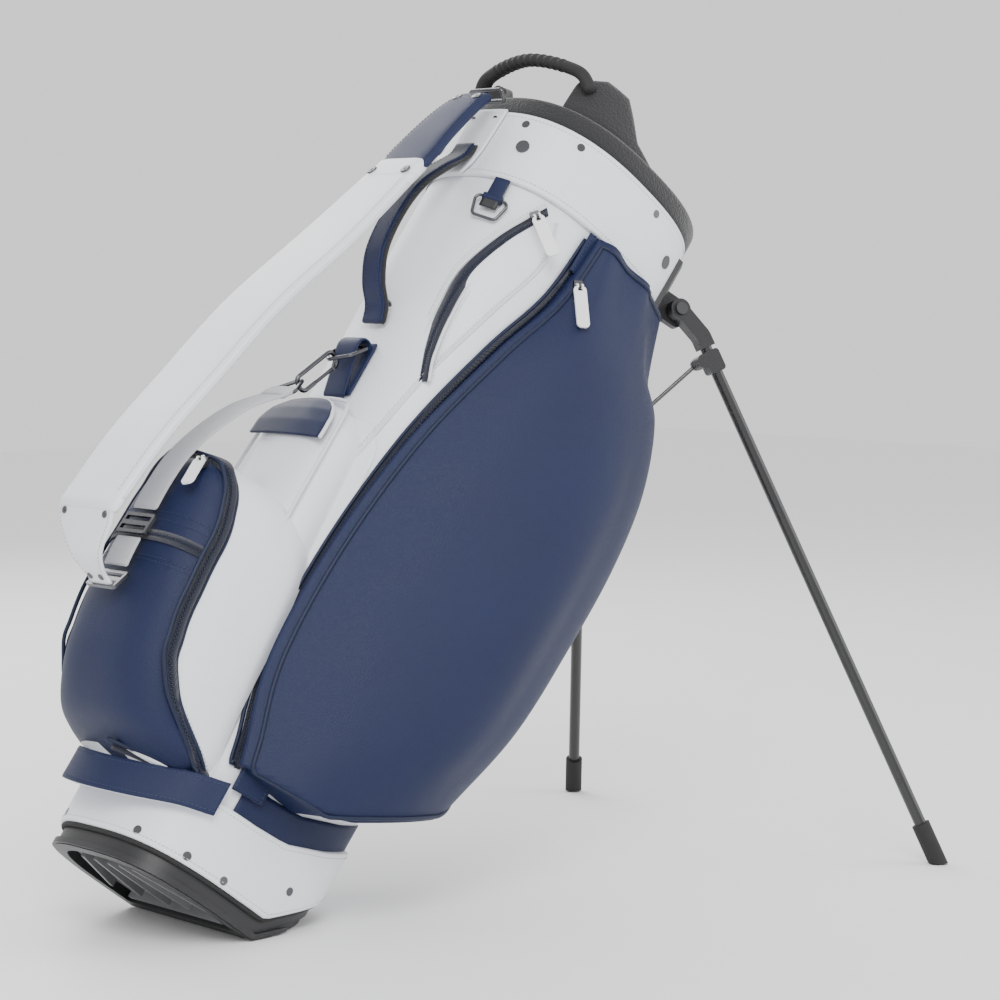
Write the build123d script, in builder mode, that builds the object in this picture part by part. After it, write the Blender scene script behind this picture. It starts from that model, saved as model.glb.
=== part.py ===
"""Golf stand bag: a padded club tube with pockets, a carrying strap and a folding two-leg stand.

Every piece is drawn in the bag's own frame: Z runs up the axis of the bag, X points from the
strap side to the leg side, and Y runs across the bag. write() then leans each finished piece
back on to the stand, so that the heel plate lies flat on the floor under the row's origin.
"""

from build123d import *
import os
from math import cos, radians, sin, tan

os.makedirs("parts", exist_ok=True)

# ---------------------------------------------------------------- driving dimensions, mm
LEAN = 36.35  # angle of the open bag from upright, degrees
RISE = tan(radians(LEAN))  # slope of the floor seen in the bag's frame
CREASE_X = 20.9  # where the flat sole ends and the heel begins
BAG_TOP = 850.0  # top edge of the upper cuff
HEEL_CENTRE = 48.0  # from the crease to the middle of the heel plate, along the floor
GAP = 0.5  # between pieces that are sewn or screwed together

# ground outline and mouth outline of the tube: middle, half length, half width, squareness
FOOT_OUTLINE = (-12.0, 112.0, 98.0, 3.0)
MOUTH_OUTLINE = (0.0, 127.5, 111.3, 2.5)
WALL = 3.0

# folding stand, near leg (the far leg is its mirror image)
PIVOT = Vector(142, -70, 800)
KNEE = Vector(190, -98, 775)
LEG_TIP = Vector(622.4, -280, 447.6)
TUBE_R = 6.3
BLOCK = Vector(134, 0, 530)  # spreader block on the back of the bag
RAIL = Vector(0.035, 0, 1).normalized()
STRUT_Y = 16.0
BLOCK_DROP = 41.0


# ---------------------------------------------------------------- shared shapes
def outline_at(z, grow):
    """Middle, half length, half width and squareness of the tube's outline at height z."""
    share = z / BAG_TOP
    middle, length, width, power = (
        low + (high - low) * share for low, high in zip(FOOT_OUTLINE, MOUTH_OUTLINE)
    )
    return middle, length + grow, width + grow, power


def rounded_point(middle, length, width, power, turn):
    """Point of a superellipse at a turn from +X, in degrees."""
    c, s = cos(radians(turn)), sin(radians(turn))
    x = abs(c) ** (2 / power) * (1 if c >= 0 else -1)
    y = abs(s) ** (2 / power) * (1 if s >= 0 else -1)
    return middle + length * x, width * y


def hoop(z, grow, count=24):
    """The tube's closed outline at height z, grown outwards."""
    points = [rounded_point(*outline_at(z, grow), 360 * i / count) for i in range(count)]
    with BuildSketch(Plane.XY.offset(z)) as face:
        with BuildLine():
            Spline(*points, periodic=True)
        make_face()
    return face.sketch


def column(low, high, grow_low, grow_high):
    """A solid column with the tube's outline."""
    with BuildPart() as solid:
        add(hoop(low, grow_low))
        add(hoop(high, grow_high))
        loft()
    return solid.part


def side_slab(points, half_width=320.0):
    """A prism across the bag whose side view is the polygon of (x, z) points."""
    with BuildPart() as solid:
        with BuildSketch(Plane.XZ):
            with BuildLine():
                Polyline(*points, close=True)
            make_face()
        extrude(amount=half_width, both=True)
    return solid.part


def folded_slab(low, high, back=400.0):
    """The layer between two heights above the sole, which turns up with the heel."""
    lift = (back - CREASE_X) * RISE
    return side_slab(
        [(-400, low), (CREASE_X, low), (back, low + lift),
         (back, high + lift), (CREASE_X, high), (-400, high)]
    )


def below_floor(back=900.0):
    """Everything under the floor that the open bag stands on."""
    lift = (back - CREASE_X) * RISE
    return side_slab([(-400, 0), (CREASE_X, 0), (back, lift), (back, -400), (-400, -400)], 500)


def disc(centre, normal, radius, start, end):
    """A round solid along a normal, between two distances from its centre."""
    with BuildPart() as solid:
        with BuildSketch(Plane(origin=centre + normal.normalized() * start, z_dir=normal)):
            Circle(radius)
        extrude(amount=end - start)
    return solid.part


def rod(points, radius, bend):
    """A round wire through the points, with bends of the given radius."""
    with BuildPart() as solid:
        with BuildLine() as path:
            if len(points) == 2:
                Line(*points)
            else:
                FilletPolyline(*points, radius=bend)
        with BuildSketch(Plane(origin=path.line @ 0, z_dir=path.line % 0)):
            Circle(radius)
        sweep()
    return solid.part


def ribbon(points, width, thickness):
    """A strap whose side view runs through the (x, z) points, centred on Y = 0."""
    with BuildPart() as solid:
        with BuildSketch(Plane.XZ):
            with BuildLine() as path:
                Spline(*points)
            trace(line_width=thickness)
        extrude(amount=width / 2, both=True)
    return solid.part


def group(*pieces):
    """Several loose solids as one piece."""
    return Compound(children=[solid for piece in pieces for solid in piece.solids()])


def write(piece, name):
    """Labels a piece, leans it on to the stand and writes its file."""
    leaned = Location((-HEEL_CENTRE, 0, 0), (0, LEAN, 0)) * Location((-CREASE_X, 0, 0)) * piece
    leaned.label = name
    export_step(leaned, f"parts/{name}.step")


def write_pair(piece, name):
    """Writes a near-side piece and its mirror image on the far side."""
    write(piece, name + "_near")
    write(mirror(piece, about=Plane.XZ), name + "_far")




# ---------------------------------------------------------------- base
sole_outline = column(-1, 140, 0, 0)
lip_outline = column(-1, 140, 3.0, 3.0)
core = column(18, 842, GAP, GAP)  # the tube with sewing clearance, taken out of every pocket

HINGE = Vector(CREASE_X + 4.0, 0, 7.2)  # heel hinge pin, just above the crease
PIN_R = 2.5
PLATE_T = 6.0
PLATE_LIFT = PLATE_T / cos(radians(LEAN)) + 1.2
ROD_FOOT_X = 80.0  # where the push rod comes down through the heel

knuckle_gap = disc(HINGE - Vector(0, 78, 0), Vector(0, 1, 0), 6.0, 0, 156)
heel_room = side_slab(
    [(CREASE_X + 6, -60), (CREASE_X + 6, 6 * RISE + PLATE_LIFT),
     (400, (400 - CREASE_X) * RISE + PLATE_LIFT), (400, -60)], 94
)
with BuildPart() as base_foot:
    add(sole_outline)
    add(folded_slab(0, 26), mode=Mode.INTERSECT)
    add(lip_outline.intersect(folded_slab(0.8, 6.5)))
    add(column(-2, 14, -12, -12).intersect(side_slab([(-300, -5), (-300, 12), (8, 12), (8, -5)])),
        mode=Mode.SUBTRACT)
    add(knuckle_gap, mode=Mode.SUBTRACT)
    add(heel_room, mode=Mode.SUBTRACT)
    add(below_floor(), mode=Mode.SUBTRACT)
    add(disc(Vector(ROD_FOOT_X, 0, 0), Vector(0, 0, 1), 5.5, 0, 140), mode=Mode.SUBTRACT)
    add(disc(HINGE - Vector(0, 86, 0), Vector(0, 1, 0), PIN_R, 0, 172), mode=Mode.SUBTRACT)
write(base_foot.part, "base_foot")

# grey insert in the hollow of the sole, with the ribs that grip the turf
with BuildPart() as sole_insert:
    add(column(-2, 14, -12.3, -12.3).intersect(side_slab([(-300, 9), (-300, 11.8), (7.6, 11.8), (7.6, 9)])))
    with BuildSketch(Plane.XY.offset(1.5)):
        for turn in (-32, -16, 0, 16, 32):
            with Locations((-52 - abs(turn) * 0.2, turn * 1.9)):
                Rectangle(82, 4, rotation=turn * 0.9)
        with Locations((-1, 0)):
            Rectangle(5, 150)
    extrude(amount=8.5)
    add(column(-2, 14, -13.5, -13.5), mode=Mode.INTERSECT)
    add(side_slab([(-300, 0), (-300, 11.8), (7.6, 11.8), (7.6, 0)]), mode=Mode.INTERSECT)
write(sole_insert.part, "sole_insert")

# heel plate that stays flat on the floor and works the stand through the push rod
with BuildPart() as heel_plate:
    add(column(-60, 120, -2.5, -2.5))
    add(folded_slab(0, PLATE_T / cos(radians(LEAN))), mode=Mode.INTERSECT)
    add(side_slab([(CREASE_X + 11, -50), (CREASE_X + 11, 200), (400, 400), (400, -50)], 92),
        mode=Mode.INTERSECT)
    add(side_slab([(CREASE_X + 4, 0), (CREASE_X + 4, 14), (CREASE_X + 12, 14),
                   (CREASE_X + 12, 8 * RISE)], 73).intersect(
                       folded_slab(0, PLATE_T / cos(radians(LEAN)))))
    add(disc(HINGE - Vector(0, 73, 0), Vector(0, 1, 0), 5.2, 0, 146))
    add(disc(HINGE - Vector(0, 74, 0), Vector(0, 1, 0), PIN_R + 0.06, 0, 148), mode=Mode.SUBTRACT)
    add(below_floor(), mode=Mode.SUBTRACT)
write(heel_plate.part, "heel_plate")
write(disc(HINGE - Vector(0, 84, 0), Vector(0, 1, 0), PIN_R, 0, 168), "heel_hinge_pin")

# ---------------------------------------------------------------- club tube
ROD_SLOT = (118.0, 262.0)
with BuildPart() as club_tube:
    add(column(20, 838, 0, 0))
    add(column(19, 839, -WALL, -WALL), mode=Mode.SUBTRACT)
    add(folded_slab(-60, 26 + GAP), mode=Mode.SUBTRACT)
    with BuildSketch(Plane.YZ.offset(80)):
        with Locations((0, sum(ROD_SLOT) / 2)):
            Rectangle(12, ROD_SLOT[1] - ROD_SLOT[0])
    extrude(amount=60, mode=Mode.SUBTRACT)
write(club_tube.part, "club_tube")

with BuildPart() as lower_cuff:
    add(column(10, 150, 5, 5))
    add(column(9, 151, GAP, GAP), mode=Mode.SUBTRACT)
    add(side_slab([(-300, 22), (CREASE_X, 22), (180, 22 + (180 - CREASE_X) * RISE),
                   (180, 168), (130, 146), (50, 109), (5, 92), (-25, 88), (-300, 88)]),
        mode=Mode.INTERSECT)
write(lower_cuff.part, "lower_cuff")


def studs(places, radius, height, low=0.1):
    """Round rivet heads on the tube, each at (turn, z, grow) of its seat."""
    heads = []
    for turn, z, grow in places:
        middle, length, width, power = outline_at(z, grow)
        x, y = rounded_point(middle, length, width, power, turn)
        nx = abs((x - middle) / length) ** (power - 1) / length * (1 if x > middle else -1)
        ny = abs(y / width) ** (power - 1) / width * (1 if y > 0 else -1)
        heads.append(disc(Vector(x, y, z), Vector(nx, ny, 0), radius, -low, height))
    return group(*heads)


LOWER_STUDS = [(205, 31, 5), (240, 30, 5), (262, 29, 5), (282, 57, 5), (222, 78, 5),
               (155, 31, 5), (120, 30, 5), (98, 29, 5), (78, 57, 5), (138, 78, 5)]

with BuildPart() as upper_cuff:
    add(column(772, BAG_TOP, 4.3, 4.3))
    add(column(771, BAG_TOP + 1, GAP, GAP), mode=Mode.SUBTRACT)
write(upper_cuff.part, "upper_cuff")
UPPER_STUDS = [(turn, 837.5, 4.3) for turn in (202, 235, 277, 158, 125, 83)]
rivets = studs(LOWER_STUDS + UPPER_STUDS, 4.2, 1.6)
bolts = studs([(turn, 812, 4.3) for turn in (207, 298, 153, 62)], 7.0, 2.6)
write(group(rivets, bolts), "cuff_rivets")

# ---------------------------------------------------------------- top frame and dividers
RIM_TOP = 868.0
DIVIDER_X = (-42.0, 38.0)
BAR = 15.0
with BuildPart() as top_frame:
    add(column(839, RIM_TOP - 6, 0, -1))
    add(column(RIM_TOP - 6, RIM_TOP, -1, -5))
    add(column(838, RIM_TOP + 1, -15, -15), mode=Mode.SUBTRACT)
well_column = column(838, RIM_TOP + 1, -15.3, -15.3)
with BuildPart() as divider_bars:
    with BuildSketch(Plane.XY.offset(842)):
        for x in DIVIDER_X:
            with Locations((x, 0)):
                Rectangle(BAR, 240)
        with Locations(((DIVIDER_X[0] + 130) / 2, 0)):
            Rectangle(130 - DIVIDER_X[0], BAR)
    extrude(amount=22)
    add(well_column, mode=Mode.INTERSECT)
write(top_frame.part, "top_frame")
write(divider_bars.part, "divider_bars")

PANEL = 2.5
PANEL_TOP = 838.5
inner = column(100, PANEL_TOP, -WALL - 1.5, -WALL - 1.5)


def divider(centre, size, low):
    """A padded cloth divider hanging in the tube."""
    sheet = Pos(centre[0], centre[1], (low + PANEL_TOP) / 2) * Box(*size, PANEL_TOP - low)
    return sheet.intersect(inner)


cross = [divider((x, 0), (PANEL, 260), 270) for x in DIVIDER_X]
write(group(*cross), "cross_dividers")
spans = ((DIVIDER_X[0] + 2, DIVIDER_X[1] - 2), (DIVIDER_X[1] + 2, 150))
write(group(*[divider(((x0 + x1) / 2, 0), (x1 - x0, PANEL), 290) for x0, x1 in spans]), "centre_dividers")

# padded sleeves on the rim that hold the ends of the lift handle
sleeve_side = side_slab([(-108, 869), (-104, 914), (-86, 926), (-60, 922), (-46, 906),
                         (-30, 886), (-8, 877), (12, 869)])
near_half = Pos(0, -150, 900) * Box(400, 180, 300)
with BuildPart() as handle_sleeve:
    add(column(868.3, 930, -1.5, -10).cut(column(867, 931, -16, -26)))
    add(sleeve_side, mode=Mode.INTERSECT)
    add(near_half, mode=Mode.INTERSECT)
write_pair(handle_sleeve.part, "handle_sleeve")

with BuildPart() as lift_handle:
    with BuildLine() as arch:
        Spline((-98, 85, 900), (-112, 66, 915), (-124, 0, 923), (-112, -66, 915), (-98, -85, 900))
    with BuildSketch(Plane(origin=arch.line @ 0, z_dir=arch.line % 0)):
        Ellipse(8, 9)
    sweep()
    add(handle_sleeve.part, mode=Mode.SUBTRACT)
    add(mirror(handle_sleeve.part, about=Plane.XZ), mode=Mode.SUBTRACT)
write(lift_handle.part, "lift_handle")


# ---------------------------------------------------------------- pockets
def lofted(stations):
    """A solid through closed smooth outlines, each (z at X = 0, slope along X, points)."""
    with BuildPart() as solid:
        for z, slope, points in stations:
            tilt = Vector(1, 0, slope).normalized()
            stretch = Vector(1, 0, slope).length
            level = Plane(origin=(0, 0, z), x_dir=tilt, z_dir=(-tilt.Z, 0, tilt.X))
            with BuildSketch(level):
                with BuildLine():
                    Spline(*[(x * stretch, y) for x, y in points], periodic=True)
                make_face()
        loft()
    return solid.part


def pouch(front, half_width, back=-60.0, square=3.0):
    """Outline of a front pocket: a rounded box from inside the tube to its front face."""
    count = 16
    middle, length = (front + back) / 2, (back - front) / 2
    return [rounded_point(middle, length, half_width, square, 360 * i / count) for i in range(count)]


with BuildPart() as mid_pocket:
    add(lofted([(150, 0, pouch(-150, 74)), (380, 0, pouch(-156, 66)), (455, 0, pouch(-157, 62)),
                (482, 0, pouch(-150, 44))]))
    add(core, mode=Mode.SUBTRACT)
write(mid_pocket.part, "mid_pocket")

with BuildPart() as ball_pocket:
    add(lofted([(90, 0, pouch(-150, 70)), (112, 0, pouch(-196, 84)), (160, 0, pouch(-224, 87)),
                (230, 0, pouch(-238, 86)), (300, 0, pouch(-245, 80)), (345, 0, pouch(-243, 66)),
                (370, 0, pouch(-226, 44))]))
    add(side_slab([(-300, 60), (-300, 400), (-232, 400), (-40, 250), (-40, 60)]), mode=Mode.INTERSECT)
    add(core, mode=Mode.SUBTRACT)
    add(column(80, 112, 5 + GAP, 5 + GAP), mode=Mode.SUBTRACT)
    add(mid_pocket.part, mode=Mode.SUBTRACT)
write(ball_pocket.part, "ball_pocket")


def wing(edge, wide, corner, tail):
    """Outline of a side pocket: front edge, widest place, back corner and back edge."""
    (ex, ey), (wx, wy), (cx, cy), (tx, ty) = edge, wide, corner, tail
    return [(ex, ey), ((ex + wx) / 2 - 8, (ey + wy) / 2 - 10), (wx, wy), ((wx + cx) / 2 + 6, (wy + cy) / 2 - 8),
            (cx, cy), (tx + 14, ty - 8), (tx, ty), (40, -70), (ex + 40, -60)]


SIDE_STATIONS = [
    (768, 0.0, wing((-26, -122), (20, -124), (64, -118), (90, -92))),
    (690, 0.1, wing((-36, -119), (30, -148), (98, -124), (108, -98))),
    (620, 0.25, wing((-66, -113), (40, -176), (128, -142), (118, -102))),
    (520, 0.40, wing((-98, -100), (50, -194), (146, -154), (124, -102))),
    (410, 0.55, wing((-112, -90), (54, -200), (152, -158), (122, -102))),
    (300, 0.68, wing((-112, -92), (54, -198), (150, -156), (118, -102))),
    (200, 0.68, wing((-92, -102), (50, -188), (144, -150), (112, -100))),
    (122, 0.58, wing((-80, -106), (44, -160), (126, -132), (108, -98))),
]
with BuildPart() as side_pocket:
    add(lofted(SIDE_STATIONS))
    add(core, mode=Mode.SUBTRACT)
    add(column(50, 160, 5 + GAP, 5 + GAP), mode=Mode.SUBTRACT)
    add(ball_pocket.part, mode=Mode.SUBTRACT)
    add(mid_pocket.part, mode=Mode.SUBTRACT)
write_pair(side_pocket.part, "side_pocket")



# ---------------------------------------------------------------- handles
PLATE_GROW = 4.8
with BuildPart() as strap_plate:
    add(column(768, 849, PLATE_GROW + 2.4, PLATE_GROW + 2.4))
    add(column(767, 850, PLATE_GROW, PLATE_GROW), mode=Mode.SUBTRACT)
    add(Pos(-140, 0, 809) * Box(60, 54, 100), mode=Mode.INTERSECT)
write(strap_plate.part, "strap_plate")

with BuildPart() as strap_loop:
    with BuildLine() as path:
        FilletPolyline((-142, 24, 855), (-152, 24, 862), (-152, -24, 862), (-142, -24, 855),
                       close=True, radius=3)
    with BuildSketch(Plane(origin=path.line @ 0, z_dir=path.line % 0)):
        Circle(2)
    sweep()
write(strap_loop.part, "strap_loop")

SPINE_HANDLE = [(-139, 803), (-141, 786), (-156, 760), (-170, 728), (-175, 690), (-171, 650),
                (-156, 622), (-139, 605), (-131.6, 588)]
write(ribbon(SPINE_HANDLE, 32, 7.6), "spine_handle")

with BuildPart() as base_handle:
    with BuildSketch(Plane.XY.offset(48)):
        with BuildLine():
            Spline((-88, -104), (-122, -82), (-152, -35), (-161, 10), (-152, 48), (-128, 72), (-98, 94))
        trace(line_width=4)
    extrude(amount=34)
    add(column(40, 90, 5 + GAP, 5 + GAP), mode=Mode.SUBTRACT)
    add(ball_pocket.part, mode=Mode.SUBTRACT)
write(base_handle.part.solids().sort_by(SortBy.VOLUME)[-1], "base_handle")

# ---------------------------------------------------------------- shoulder strap
write(ribbon([(-157, 850), (-168, 826), (-180, 788), (-193, 733)], 56, 13), "strap_wrap")
write(ribbon([(-197, 722), (-226, 623), (-260, 519), (-281, 421), (-297, 340), (-305, 256)], 94, 15),
      "strap_pad")
TAB_TOP, TAB_FOOT = Vector(-302, 0, 246), Vector(-246, 0, 208)
tab_plane = Plane(origin=TAB_TOP, x_dir=(0, 1, 0), z_dir=(TAB_FOOT - TAB_TOP).cross(Vector(0, 1, 0)))
with BuildPart() as strap_tab:
    with BuildSketch(tab_plane):
        with BuildLine():
            Polyline((-42, 4), (42, 4), (26, -44), (16, -60), (-16, -60), (-26, -44), close=True)
        make_face()
    extrude(amount=2, both=True)
write(strap_tab.part, "strap_tab")


def frame_buckle(centre, tilt):
    """A slide buckle: a flat frame with two openings, across the webbing."""
    with BuildPart() as solid:
        with BuildSketch(Plane.XY):
            RectangleRounded(22, 46, 3)
            with Locations((-5, 0), (5, 0)):
                Rectangle(5, 39, mode=Mode.SUBTRACT)
        extrude(amount=1.6, both=True)
    return Location(centre, (0, tilt, 0)) * solid.part


buckles = [frame_buckle((-251, 0, 276), -86), frame_buckle((-248, 0, 217), -72)]
write(group(*buckles), "strap_buckles")
webbing = [ribbon([(-251.5, 292), (-252, 320), (-249, 352), (-238, 388), (-217, 430), (-190, 463)], 38, 3),
           ribbon([(-248, 232), (-249.5, 244), (-250.5, 262)], 38, 3)]
write(group(*webbing), "strap_webbing")

with BuildPart() as triangle_ring:
    with BuildLine() as path:
        FilletPolyline((-186, 22, 468), (-186, -22, 468), (-170, 0, 495), close=True, radius=5)
    with BuildSketch(Plane(origin=path.line @ 0, z_dir=path.line % 0)):
        Circle(2)
    sweep()
write(triangle_ring.part, "triangle_ring")

# snap hook between the triangle ring and the D-ring on the spine
HOOK_LOW, HOOK_TOP = Vector(-171, 0, 486), Vector(-151.5, 0, 534)
hook_plane = Plane(origin=HOOK_LOW, x_dir=HOOK_TOP - HOOK_LOW, z_dir=(0, 1, 0))
HOOK_LENGTH = (HOOK_TOP - HOOK_LOW).length
with BuildPart() as snap_hook:
    with BuildLine(hook_plane) as path:
        FilletPolyline((HOOK_LENGTH * 0.35, 8), (0, 8), (0, -8), (HOOK_LENGTH, -8), (HOOK_LENGTH, 8),
                       (HOOK_LENGTH * 0.86, 8), radius=6)
    with BuildSketch(Plane(origin=path.line @ 0, z_dir=path.line % 0)):
        Circle(2.3)
    sweep()
write(snap_hook.part, "snap_hook")
with BuildPart() as hook_gate:
    with BuildSketch(Plane(origin=hook_plane.from_local_coords(Vector(HOOK_LENGTH * 0.38, 8, 0)),
                           z_dir=hook_plane.x_dir)):
        Circle(1.9)
    extrude(amount=HOOK_LENGTH * 0.45)
write(hook_gate.part, "hook_gate")

with BuildPart() as ring_tab:
    with BuildSketch(Plane.XZ):
        with BuildLine():
            Polyline((-127.8, 503), (-131, 503), (-145, 552), (-143, 562), (-136, 565), (-129, 560), close=True)
        make_face()
        with Locations((-137, 555)):
            Circle(4.2, mode=Mode.SUBTRACT)
    extrude(amount=17, both=True)
    add(core, mode=Mode.SUBTRACT)
# tab under the upper cuff, with a sleeve round the top bar of the towel ring
TOWEL_AT = Vector(-121, -60, 748)
TOWEL_BAR = Vector(0.5, -0.866, 0)
towel_plane = Plane(origin=TOWEL_AT, x_dir=TOWEL_BAR, z_dir=(-0.866, -0.5, 0))
with BuildPart() as towel_tab:
    add(column(744, 771, 4.2, 4.2))
    add(Pos(-118, -60, 757) * Box(40, 19, 42), mode=Mode.INTERSECT)
    add(disc(TOWEL_AT, TOWEL_BAR, 4.6, -9, 9))
    add(column(738, 773, GAP, GAP), mode=Mode.SUBTRACT)
    add(disc(TOWEL_AT, TOWEL_BAR, 1.66, -30, 30), mode=Mode.SUBTRACT)
write(group(ring_tab.part, towel_tab.part), "ring_tabs")
with BuildPart() as d_ring:
    with BuildLine() as path:
        FilletPolyline((-137, 21, 555), (-137, -21, 555), (-149, -19, 538), (-156, 0, 528), (-149, 19, 538),
                       close=True, radius=3)
    with BuildSketch(Plane(origin=path.line @ 0, z_dir=path.line % 0)):
        Circle(2)
    sweep()
write(d_ring.part, "d_ring")

# towel ring hanging from its tab under the upper cuff
with BuildPart() as towel_ring:
    with BuildLine(towel_plane) as path:
        FilletPolyline((-19, 0), (19, 0), (13, -22), (-13, -22), close=True, radius=5)
    with BuildSketch(Plane(origin=path.line @ 0, z_dir=path.line % 0)):
        Circle(1.6)
    sweep()
write(towel_ring.part, "towel_ring")


# ---------------------------------------------------------------- zips
def zip_slider(seat, outward, hang):
    """A zip slider with a cross pin on a post, on a seat with the outward direction given."""
    across = outward.cross(hang).normalized()
    base = Plane(origin=seat, x_dir=across, z_dir=outward)
    post = base * (Pos(0, 0, 2.0) * Box(9, 13, 4) + Pos(0, 0, 5.2) * Box(3, 4, 2.4))
    pin = disc(seat + outward * 7.5, across, 1.2, -4, 4)
    return post + pin


def zip_pull(seat, outward, hang, length, width):
    """A pull tab with an eye round the slider's pin, hanging along a direction."""
    across = outward.cross(hang).normalized()
    pivot = seat + outward * 7.5
    with BuildPart() as tab:
        with BuildSketch(Plane(origin=pivot, x_dir=across, z_dir=hang.cross(across).normalized())):
            with Locations((0, -length / 2)):
                RectangleRounded(width, length, width * 0.35)
            with Locations((0, -1)):
                Rectangle(5.0, 9.0, mode=Mode.SUBTRACT)
        extrude(amount=1.1, both=True)
        for side in (-1, 1):
            add(disc(pivot, across, 2.6, 2.6 * side - 0.9, 2.6 * side + 0.9))
        add(disc(pivot, across, 1.26, -9, 9), mode=Mode.SUBTRACT)
    return tab.part


SIDE_ZIP = (Vector(-27.6, -127.2, 708), Vector(-0.42, -0.90, -0.05).normalized(),
            Vector(0.30, -0.42, -0.86).normalized())
CHEST_ZIP = (Vector(-93, -101, 744), Vector(-0.60, -0.80, 0).normalized(),
             Vector(0.60, -0.47, -0.66).normalized())
BALL_ZIP = (Vector(-238, -30, 352), Vector(-0.94, -0.1, 0.33).normalized(), Vector(-0.28, -0.45, -0.85).normalized())
write_pair(zip_slider(*SIDE_ZIP), "side_zip_slider")
write_pair(zip_pull(*SIDE_ZIP, 46, 13), "side_zip_pull")
write(zip_slider(*CHEST_ZIP), "chest_zip_slider")
write(zip_pull(*CHEST_ZIP, 44, 13), "chest_zip_pull")
write(zip_slider(*BALL_ZIP), "ball_zip_slider")
write(zip_pull(*BALL_ZIP, 40, 13), "ball_zip_pull")

# ---------------------------------------------------------------- folding stand
LEG_DIR = (LEG_TIP - KNEE).normalized()
HINGE_AXIS = LEG_DIR.cross(Vector(0, 0, -1)).normalized()
OUT = HINGE_AXIS.cross(Vector(0, 0, 1))
HEAD_T = 14.0
HEAD_START = 0.4


def leg_plane(side):
    """Plane of the leg's swing, at a distance outwards from the pivot's middle."""
    return Plane(origin=PIVOT - HINGE_AXIS * side, x_dir=OUT, z_dir=-HINGE_AXIS)


def in_leg(point):
    """Leg-plane coordinates (outwards, up) of a point."""
    return (point - PIVOT).dot(OUT), (point - PIVOT).Z


TUBE_SIDE = HEAD_START + HEAD_T / 2
knee_u, knee_z = in_leg(KNEE)
dir_u, dir_z = LEG_DIR.dot(OUT), LEG_DIR.Z
KNEE_ON_TUBE = PIVOT + OUT * knee_u + Vector(0, 0, knee_z) - HINGE_AXIS * TUBE_SIDE
LOBE = (knee_u + 12 * dir_z, knee_z - 12 * dir_u)


def along_leg(distance):
    """Point on the leg tube's axis, at a distance below the knee."""
    return KNEE_ON_TUBE + LEG_DIR * distance


tip_distance = (LEG_TIP - KNEE).length
with BuildPart() as leg_head:
    with BuildSketch(leg_plane(HEAD_START)):
        with BuildLine():
            elbow = (knee_u - 25 * dir_u, knee_z - 25 * dir_z)
            FilletPolyline((0, 0), elbow, (knee_u - 12 * dir_u, knee_z - 12 * dir_z), radius=14)
        trace(line_width=17)
        Circle(11)
    extrude(amount=HEAD_T)
    add(disc(PIVOT, -HINGE_AXIS, 4.06, -1, HEAD_T + 2), mode=Mode.SUBTRACT)
    add(disc(KNEE_ON_TUBE, LEG_DIR, TUBE_R + 0.05, -24, 0), mode=Mode.SUBTRACT)
write_pair(leg_head.part, "leg_head")
write_pair(disc(KNEE_ON_TUBE, LEG_DIR, TUBE_R, -23.9, tip_distance - 14), "leg_tube")

with BuildPart() as leg_clip:
    with BuildSketch(leg_plane(HEAD_START - 0.2)):
        with Locations(Location((knee_u + 4 * dir_u, knee_z + 4 * dir_z, 0), (0, 0, -35))):
            RectangleRounded(24, 19, 4)
        with BuildLine():
            Line(LOBE, (knee_u, knee_z))
        trace(line_width=13)
        with Locations(LOBE):
            Circle(7)
    extrude(amount=HEAD_T)
    add(disc(KNEE_ON_TUBE, LEG_DIR, TUBE_R + 0.05, -30, 40), mode=Mode.SUBTRACT)
write_pair(leg_clip.part, "leg_clip")

with BuildPart() as leg_foot:
    add(disc(KNEE_ON_TUBE, LEG_DIR, 9.5, tip_distance - 40, tip_distance + 24))
    add(disc(KNEE_ON_TUBE, LEG_DIR, TUBE_R + 0.05, tip_distance - 41, tip_distance - 13.9), mode=Mode.SUBTRACT)
    add(below_floor(), mode=Mode.SUBTRACT)
write_pair(leg_foot.part, "leg_foot")

# bracket on the back of the upper cuff, with a cheek and a pin for each leg
with BuildPart() as cheek:
    with BuildSketch(leg_plane(-9)):
        with Locations((-8, 0)):
            RectangleRounded(40, 30, 6)
    extrude(amount=8.9)
with BuildPart() as stand_bracket:
    add(column(775, 835, 9.5, 9.5))
    add(Pos(140, 0, 805) * Box(110, 184, 62), mode=Mode.INTERSECT)
    add(cheek.part)
    add(mirror(cheek.part, about=Plane.XZ))
    add(column(770, 840, 4.8, 4.8), mode=Mode.SUBTRACT)
    for axis, at in ((HINGE_AXIS, PIVOT), (Vector(HINGE_AXIS.X, -HINGE_AXIS.Y, 0), Vector(PIVOT.X, -PIVOT.Y, PIVOT.Z))):
        add(disc(at, axis, 4.0, -20, 20), mode=Mode.SUBTRACT)
write(stand_bracket.part, "stand_bracket")
with BuildPart() as pivot_pin:
    add(disc(PIVOT, -HINGE_AXIS, 4.0, -9, HEAD_START + HEAD_T + 0.5))
    add(disc(PIVOT, -HINGE_AXIS, 6.5, HEAD_START + HEAD_T + 0.5, HEAD_START + HEAD_T + 3))
write(group(pivot_pin.part, mirror(pivot_pin.part, about=Plane.XZ)), "pivot_pins")

# spreader block, its track, the push rod and the two struts
TILT = 2.0  # of the back of the bag from its axis, degrees
rail_place = Location(BLOCK, (0, TILT, 0))
with BuildPart() as guide_track:
    with Locations((-13.5, 0, -8)):
        Box(5.4, 20, 116)
write(rail_place * guide_track.part, "guide_track")

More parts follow.
